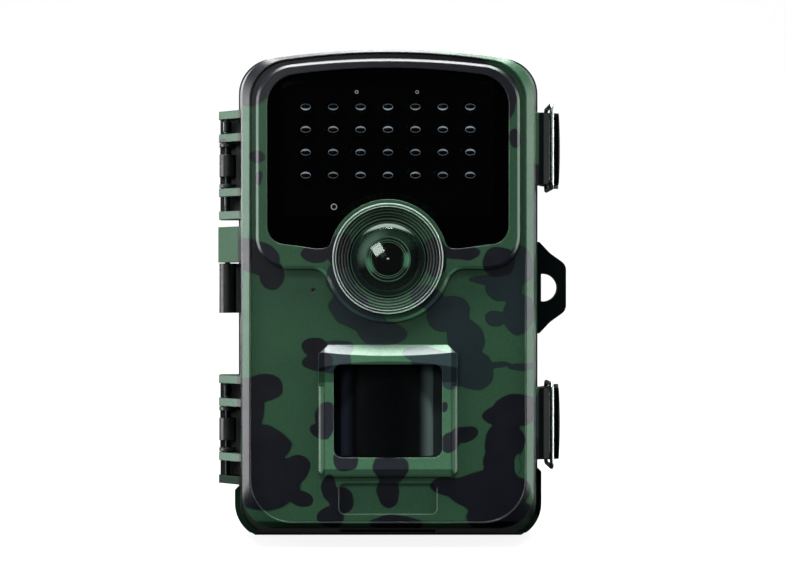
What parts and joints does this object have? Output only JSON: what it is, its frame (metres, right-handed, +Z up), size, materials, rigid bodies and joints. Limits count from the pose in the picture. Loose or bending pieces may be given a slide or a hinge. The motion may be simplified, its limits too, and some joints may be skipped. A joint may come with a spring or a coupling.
{
  "type": "trail camera",
  "caption": "Hinged clamshell trail camera with a round lens, dark infrared window, movement sensor, wire-bail latches and tree bracket.",
  "frame": {"origin": "mouth of the tripod socket on the flat underside of the rear housing", "axes": "+X to the right as seen from the front, +Y from the lens towards the tree, +Z up"},
  "size_m": [0.1008, 0.0775, 0.1404],
  "materials": {
    "camo_shell": "camouflage print on satin moulded plastic",
    "camo_lever": "camouflage print on moulded plastic",
    "black_shell": "fine moulded texture",
    "black_inner": "smooth moulded",
    "seal_rubber": "matt",
    "pin_steel": "drawn wire",
    "screw_steel": "zinc plated",
    "brass_insert": "turned",
    "nickel_contact": "nickel plated",
    "cell_wrap": "printed sleeve",
    "lead_pvc": "cable sheath",
    "window_black": "infrared-passing polished black",
    "window_clear": "polished",
    "lens_coated": "green anti-reflection coating",
    "barrel_black": "black anodised",
    "filter_glass": "coated",
    "sensor_die": "iridescent die",
    "circuit_board": "solder mask",
    "led_clear": "clear epoxy",
    "pir_black": "Fresnel grooves",
    "chip_black": "moulded package",
    "display": "switched off",
    "key_grey": "soft touch",
    "card_black": "moulded"
  },
  "bodies": {
    "rear_case": {"rear_housing": "black_shell", "tripod_nut": "brass_insert", "case_gasket": "seal_rubber", "hinge_pins": "pin_steel", "tree_bracket": "black_shell", "bracket_screws": "screw_steel", "battery_tray": "black_inner", "tray_screws": "screw_steel", "battery_contacts": "nickel_contact", "aa_cells": "cell_wrap", "battery_door": "black_inner", "latch_pins": "pin_steel", "battery_lead_rear": "lead_pvc"},
    "front_case": {"battery_lead_front": "lead_pvc", "front_housing": "camo_shell", "ir_window": "window_black", "lens_bezel": "camo_shell", "lens_dome": "lens_coated", "lens_oring": "seal_rubber", "lens_retainer": "black_inner", "lens_barrel": "barrel_black", "lens_front_element": "lens_coated", "lens_holder": "black_inner", "image_sensor": "sensor_die", "sensor_board": "circuit_board", "led_board": "circuit_board", "ir_leds": "led_clear", "status_led": "led_clear", "light_sensors": "led_clear", "microphone": "nickel_contact", "pir_lens": "pir_black", "pir_sensor": "nickel_contact", "pir_board": "circuit_board", "main_board": "circuit_board", "board_parts": "chip_black", "board_screws": "screw_steel", "inner_panel": "black_inner", "panel_screws": "screw_steel", "lcd_module": "display", "lcd_window": "window_clear", "sd_socket": "nickel_contact", "usb_socket": "nickel_contact", "dc_jack": "chip_black", "speaker": "chip_black"},
    "latch_lever_upper": {"latch_lever_upper": "camo_lever"},
    "latch_lever_lower": {"latch_lever_lower": "camo_lever"},
    "latch_bail_upper": {"latch_bail_upper": "pin_steel"},
    "latch_bail_lower": {"latch_bail_lower": "pin_steel"},
    "mode_knob": {"mode_knob": "key_grey"},
    "sd_card": {"sd_card": "card_black"},
    "ir_cut_filter": {"ir_cut_filter": "filter_glass"},
    "port_cover": {"port_cover": "seal_rubber"},
    "key_up": {"key_up": "key_grey"},
    "key_down": {"key_down": "key_grey"},
    "key_left": {"key_left": "key_grey"},
    "key_right": {"key_right": "key_grey"},
    "key_ok": {"key_ok": "key_grey"},
    "key_menu": {"key_menu": "key_grey"},
    "key_shot": {"key_shot": "key_grey"}
  },
  "joints": [
    {"name": "case_hinge", "type": "hinge", "parent": "rear_case", "child": "front_case", "pos_m": [-0.0466, -0.017, 0.07], "axis": [0, 0, -1], "range_deg": [0, 150]},
    {"name": "latch_upper", "type": "hinge", "parent": "rear_case", "child": "latch_lever_upper", "pos_m": [0.046, -0.0125, 0.1122], "axis": [0, 0, -1], "range_deg": [0, 110]},
    {"name": "bail_upper", "type": "hinge", "parent": "latch_lever_upper", "child": "latch_bail_upper", "pos_m": [0.0466, -0.005, 0.1122], "axis": [0, 0, 1], "range_deg": [0, 137.6]},
    {"name": "latch_lower", "type": "hinge", "parent": "rear_case", "child": "latch_lever_lower", "pos_m": [0.046, -0.0125, 0.0321], "axis": [0, 0, -1], "range_deg": [0, 110]},
    {"name": "bail_lower", "type": "hinge", "parent": "latch_lever_lower", "child": "latch_bail_lower", "pos_m": [0.0466, -0.005, 0.0321], "axis": [0, 0, 1], "range_deg": [0, 137.6]},
    {"name": "press_up", "type": "slide", "parent": "front_case", "child": "key_up", "axis": [0, -1, 0], "range_m": [0, 0.0005]},
    {"name": "press_down", "type": "slide", "parent": "front_case", "child": "key_down", "axis": [0, -1, 0], "range_m": [0, 0.0005]},
    {"name": "press_left", "type": "slide", "parent": "front_case", "child": "key_left", "axis": [0, -1, 0], "range_m": [0, 0.0005]},
    {"name": "press_right", "type": "slide", "parent": "front_case", "child": "key_right", "axis": [0, -1, 0], "range_m": [0, 0.0005]},
    {"name": "press_ok", "type": "slide", "parent": "front_case", "child": "key_ok", "axis": [0, -1, 0], "range_m": [0, 0.0005]},
    {"name": "press_menu", "type": "slide", "parent": "front_case", "child": "key_menu", "axis": [0, -1, 0], "range_m": [0, 0.0005]},
    {"name": "press_shot", "type": "slide", "parent": "front_case", "child": "key_shot", "axis": [0, -1, 0], "range_m": [0, 0.0005]},
    {"name": "mode_switch", "type": "slide", "parent": "front_case", "child": "mode_knob", "axis": [1, 0, 0], "range_m": [-0.004, 0.004]},
    {"name": "card_eject", "type": "slide", "parent": "front_case", "child": "sd_card", "axis": [0, 0, -1], "range_m": [0, 0.004]},
    {"name": "filter_shift", "type": "slide", "parent": "front_case", "child": "ir_cut_filter", "axis": [-1, 0, 0], "range_m": [0, 0.006]},
    {"name": "port_cover_hinge", "type": "hinge", "parent": "front_case", "child": "port_cover", "pos_m": [0, -0.0247, 0.0036], "axis": [1, 0, 0], "range_deg": [0, 100]}
  ],
  "couplings": [
    {"joint": "bail_upper", "follows": "latch_upper", "ratio": 1.25},
    {"joint": "bail_lower", "follows": "latch_lower", "ratio": 1.25}
  ]
}
